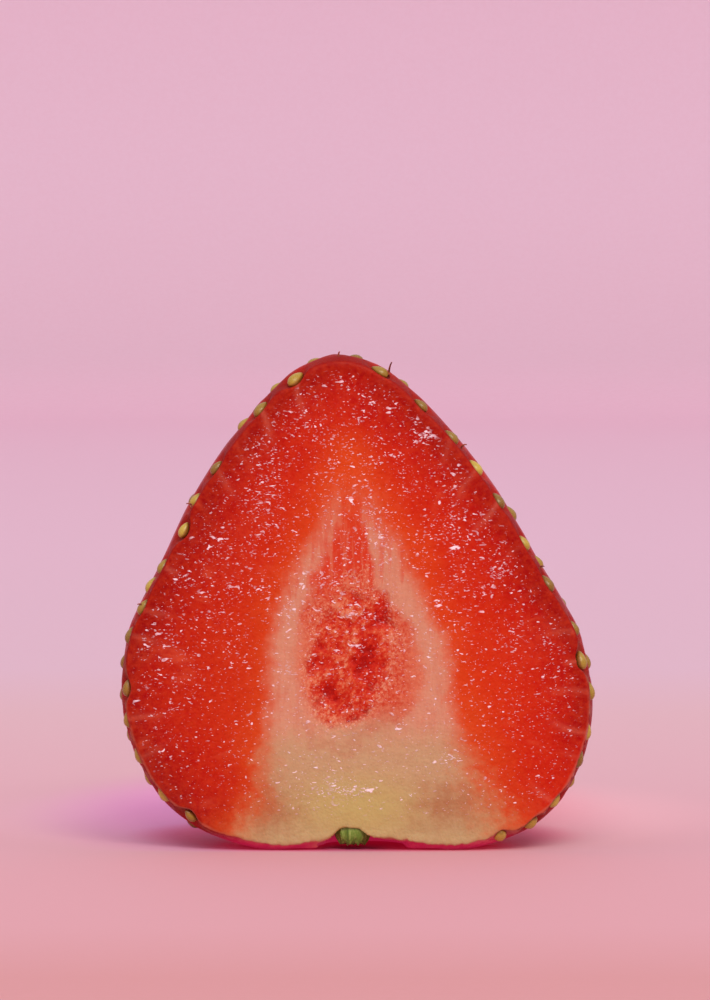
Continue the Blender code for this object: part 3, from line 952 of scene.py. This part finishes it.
def shapeStub():
    height = stubHigh.z - stubLow.z
    stubMiddle.y -= stalk["forward"]
    size = {"vertices": 40, "radius": stalk["radius"], "depth": height}
    bpy.ops.mesh.primitive_cylinder_add(location=stubMiddle, **size)
    stub = bpy.context.object
    stub.name = "stalkStub"
    bpy.ops.object.mode_set(mode="EDIT")
    bpy.ops.mesh.select_all(action="SELECT")
    bpy.ops.mesh.inset(thickness=stalk["inset"])
    bpy.ops.mesh.select_all(action="SELECT")
    bpy.ops.mesh.subdivide(number_cuts=2)
    bpy.ops.object.mode_set(mode="OBJECT")
    placeInMesh(stub)
    useModifier(stub, "REMESH", mode="VOXEL", voxel_size=stalk["grain"])
    mesh = stub.data
    points = readPoints(mesh)
    normals = readNormals(mesh)
    for i, point in enumerate(points):
        spot = Vector((point - np.array(stubMiddle)) / mm)
        ribs = noise.noise(Vector((spot.x * 2.2, spot.y * 2.2, spot.z * 0.5)))
        ragged = noise.noise(Vector((spot.x * 2.6, spot.y * 2.6, 4))) + 0.5 * noise.noise(spot * 5)
        points[i] += normals[i] * (stalk["ribs"] * ribs - 0.04 * mm)
        if spot.z < 0.2:
            drawn = 1 - stalk["narrowing"] * min(1.0, (0.2 - spot.z) / 1.05) ** 2
            points[i][0] = stubMiddle.x + (points[i][0] - stubMiddle.x) * drawn
            points[i][1] = stubMiddle.y + (points[i][1] - stubMiddle.y) * drawn
            points[i][2] += stalk["torn"] * ragged * min(1.0, 0.2 - spot.z)
    writePoints(mesh, points)
    shadeSmooth(stub)
    return stub


def stubFinish():
    bench = Bench("stalkGreen")
    place = bench.millimetres()
    ribs = bench.add("Mapping", None, {"Vector": place, "Scale": (3.0, 3.0, 0.7)})
    ribs = bench.add("TexNoise", None, {"Vector": ribs, "Scale": 1.2, "Detail": 4.0, "Roughness": 0.65})
    # partly painted shade and highlight: the colour follows the same ribs as the bump, darker low and paler
    # high
    colour = bench.add("ValToRGB", {"stops": stalk["greens"]}, {0: ribs})
    bump = bench.add("Bump", None, {"Strength": 0.6, "Distance": 0.00012, "Height": ribs})
    rough = bench.rise(ribs, 0.3, 0.7, 0.5, 0.35)
    shader = bench.add("BsdfPrincipled", None, {"Base Color": colour, "Roughness": rough, "Normal": bump})
    return bench.finish(shader)


pickNothing()
stub = shapeStub()
stub.data.materials.append(stubFinish())
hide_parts("stem_stub")
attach(stub, "root")
print("stalk finished")


style = {  # a few dried styles, left standing on the skin
    "width": 0.11 * mm,
    "narrowing": 0.45,
    "places": [  # left-right and height on the cut's edge in mm, then how far it stands out and leans
        (2.75, 38.3, 1.15, -0.3), (-1.45, 39.3, 0.5, 0.25), (9.6, 33.2, 0.5, 0.5),
        (-12.2, 27.0, 0.55, -0.5), (-17.2, 19.5, 0.45, -0.6), (16.1, 23.4, 0.4, 0.6),
    ],
    "dark": fromScreen(92, 22, 12),
    "pale": fromScreen(168, 74, 40),
}


def shapeStyles():
    places = []
    foot, tip = style["width"], style["width"] * style["narrowing"]
    bpy.ops.mesh.primitive_cone_add(vertices=8, radius1=foot, radius2=tip, depth=1)
    model = bpy.context.object
    bpy.ops.object.mode_set(mode="EDIT")
    bpy.ops.mesh.select_all(action="SELECT")
    bpy.ops.mesh.subdivide(number_cuts=4)
    bpy.ops.object.mode_set(mode="OBJECT")
    for vertex in model.data.vertices:
        vertex.co.x += 0.00022 * math.sin((vertex.co.z + 0.5) * 2.6)
        vertex.co.z = (vertex.co.z + 0.5) * mm
    for x, z, length, leaning in style["places"]:
        start = Vector((axis.x + x * mm, cutY + 0.9 * mm, z * mm))
        spot, outward, _, _ = skinTree.find_nearest(start)
        pointing = (outward + Vector((leaning, -0.25, 0.2))).normalized()
        turned = pointing.to_track_quat("Z", "X").to_matrix().to_4x4()
        stretched = Matrix.Diagonal((1, 1, length + 0.15, 1))
        places.append(Matrix.Translation(spot - outward * 0.12 * mm) @ turned @ stretched)
    styles = copiesAt(model, places)
    bpy.data.objects.remove(model)
    styles.name = "styles"
    shadeSmooth(styles)
    return styles


def styleFinish():
    bench = Bench("driedStyle")
    place = bench.millimetres()
    fine = bench.add("TexNoise", None, {"Vector": place, "Scale": 6.0, "Detail": 3.0})
    colour = bench.blend(bench.rise(fine, 0.35, 0.65), style["dark"], style["pale"])
    bump = bench.add("Bump", None, {"Strength": 0.4, "Distance": 0.00003, "Height": fine})
    rough = bench.rise(fine, 0.3, 0.7, 0.5, 0.65)
    shader = bench.add("BsdfPrincipled", None, {"Base Color": colour, "Roughness": rough, "Normal": bump})
    return bench.finish(shader)


pickNothing()
styles = shapeStyles()
styles.data.materials.clear()
styles.data.materials.append(styleFinish())
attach(styles, "root")
print("styles finished")


studio = {
    "trayRadius": 0.85,
    "wallHeight": 0.32,
    "curve": 0.12,
    "sky": (0.99, 0.9, 0.98, 1.0),
    "skyStrength": 0.81,
    # painted light and shade: the paper is darker at the front and lighter towards the back, and its tone
    # changes up the wall, to even out the cove and match how the light falls across the studio
    "paperRun": (-0.09, 0.85),  # where the paper's colours start and end, from front to back
    "paper": [
        (0.0, fromScreen(203, 140, 144)), (0.03, fromScreen(210, 152, 162)),
        (0.1, fromScreen(213, 160, 172)), (0.22, fromScreen(216, 174, 184)),
        (0.28, fromScreen(217, 180, 197)), (0.52, fromScreen(226, 187, 206)),
        (1.0, fromScreen(236, 196, 214)),
    ],
    "wall": [  # where each colour starts and is full, up the wall
        (0.0, 0.015, fromScreen(227, 192, 208)), (0.018, 0.06, fromScreen(228, 195, 212)),
    ],
    "fibre": fromScreen(214, 150, 168),
    # painted light and shade under and behind the fruit, for its shadow and red light through it: three
    # patches, each with its move and stretch, its outer and inner reach, its strength, and its colours on
    # the left and on the right
    "paintedShadeAndGlow": [
        ((0.0, -0.5, 0), (34.0, 30.0, 0), 1.2, 0.6, 0.6, (240, 184, 208), (240, 178, 188)),
        ((0.11, -0.5, 0), (42.0, 24.0, 0), 1.15, 0.55, 0.55, (220, 104, 196), (230, 104, 128)),
        ((0.0, -0.06, 0), (54.0, 66.0, 0), 1.06, 0.72, 0.75, (214, 26, 96), (214, 26, 96)),
    ],
}


def shapeTable():
    radius = studio["trayRadius"]
    bpy.ops.mesh.primitive_circle_add(vertices=96, radius=radius, fill_type="NGON", location=(0, 0, 0))
    paper = bpy.context.object
    paper.name = "paper"
    bpy.ops.object.mode_set(mode="EDIT")
    bpy.ops.mesh.select_all(action="SELECT")
    for step in range(1, 9):
        angle = step / 8 * math.pi / 2
        newRadius = studio["trayRadius"] + studio["curve"] * math.sin(angle)
        rise = studio["curve"] * (math.cos(angle - math.pi / 16) - math.cos(angle))
        bpy.ops.mesh.extrude_region_move(TRANSFORM_OT_translate={"value": (0, 0, rise)})
        grow = newRadius / radius
        bpy.ops.transform.resize(value=(grow, grow, 1), center_override=(0, 0, 0))
        radius = newRadius
    wall = studio["wallHeight"] - studio["curve"]
    bpy.ops.mesh.extrude_region_move(TRANSFORM_OT_translate={"value": (0, 0, wall)})
    bpy.ops.mesh.delete(type="ONLY_FACE")
    bpy.ops.mesh.select_all(action="SELECT")
    bpy.ops.mesh.normals_make_consistent(inside=True)
    bpy.ops.object.mode_set(mode="OBJECT")
    shadeSmooth(paper)
    return paper


def paperFinish():
    bench = Bench("pinkPaper")
    place = bench.add("TexCoord", out="Object")
    fibres = bench.add("TexNoise", None, {"Vector": place, "Scale": 900.0, "Detail": 3.0, "Roughness": 0.6})
    back = bench.add("SeparateXYZ", None, {0: place}, out=1)
    high = bench.add("SeparateXYZ", None, {0: place}, out=2)
    front, rear = studio["paperRun"]
    # painted light and shade: the paper's colour changes from front to back and up the wall
    run = bench.add("MapRange", None, {0: back, 1: front, 2: rear})
    colour = bench.add("ValToRGB", {"stops": studio["paper"]}, {0: run})
    for starts, full, tone in studio["wall"]:
        colour = bench.blend(bench.rise(high, starts, full), colour, tone)
    # painted light and shade: patches near the fruit that lighten, tint and redden its shadow on the paper
    behind = bench.rise(back, -0.0125, -0.0095)
    rightward = bench.rise(bench.add("SeparateXYZ", None, {0: place}, out=0), -0.01, 0.014)
    for moved, stretch, outer, inner, strength, left, right in studio["paintedShadeAndGlow"]:
        share = bench.rise(bench.away(place, moved, stretch), outer, inner) * behind * strength
        colour = bench.blend(share, colour, bench.blend(rightward, fromScreen(*left), fromScreen(*right)))
    colour = bench.blend(bench.rise(fibres, 0.3, 0.7) * 0.06, colour, studio["fibre"])
    bump = bench.add("Bump", None, {"Strength": 0.1, "Distance": 0.0001, "Height": fibres})
    shader = bench.add("BsdfPrincipled", None, {"Base Color": colour, "Roughness": 0.8, "Normal": bump})
    return bench.finish(shader)


pickNothing()
paper = shapeTable()
paper.data.materials.append(paperFinish())


def addLight(name, place, aim, size, power, colour):
    bpy.ops.object.light_add(type="AREA", location=place)
    light = bpy.context.object
    light.name = name
    light.data.shape = "DISK"
    light.data.size = size
    light.data.energy = power
    light.data.color = colour
    light.rotation_euler = (Vector(aim) - Vector(place)).to_track_quat("-Z", "Y").to_euler()


lights = [  # name, place, size, power, colour
    ("softKey", (0.36, -0.96, 0.92), 0.5, 7.2, (0.96, 1.0, 0.86)),
    ("softFill", (-0.12, -1.02, 0.92), 0.5, 3.6, (0.96, 1.0, 0.86)),
    ("glintLight", (0.03, -0.50, 0.13), 0.035, 0.12, (1.0, 0.98, 1.0)),
]
middle = (cadLow + cadHigh) / 2
for name, place, size, power, colour in lights:
    addLight(name, place, middle, size, power, colour)

world = bpy.data.worlds.new("studioAir")
scene.world = world
world.use_nodes = True
world.node_tree.nodes["Background"].inputs["Color"].default_value = studio["sky"]
world.node_tree.nodes["Background"].inputs["Strength"].default_value = studio["skyStrength"]
scene.view_settings.view_transform = "Standard"

camera = {
    "distance": 0.50,
    "elevation": math.radians(3.0),
    "aimHeight": 28.2 * mm,  # the height on the cut that is in the middle of the frame
    "aimRight": -0.15 * mm,
    "frameHeight": 80.0 * mm,  # how much of the cut's plane the frame shows
}
bpy.ops.object.camera_add()
eye = bpy.context.object
eye.name = "camera"
aim = Vector((axis.x + camera["aimRight"], cutY, camera["aimHeight"]))
tilt = camera["elevation"]
eye.location = aim + Vector((0, -math.cos(tilt), math.sin(tilt))) * camera["distance"]
eye.rotation_euler = (math.pi / 2 - tilt, 0, 0)
eye.data.sensor_fit = "VERTICAL"
eye.data.sensor_height = 24
eye.data.lens = 24 * camera["distance"] / camera["frameHeight"]
eye.data.clip_start = 0.01
eye.data.clip_end = 10
scene.camera = eye
print("studio set")
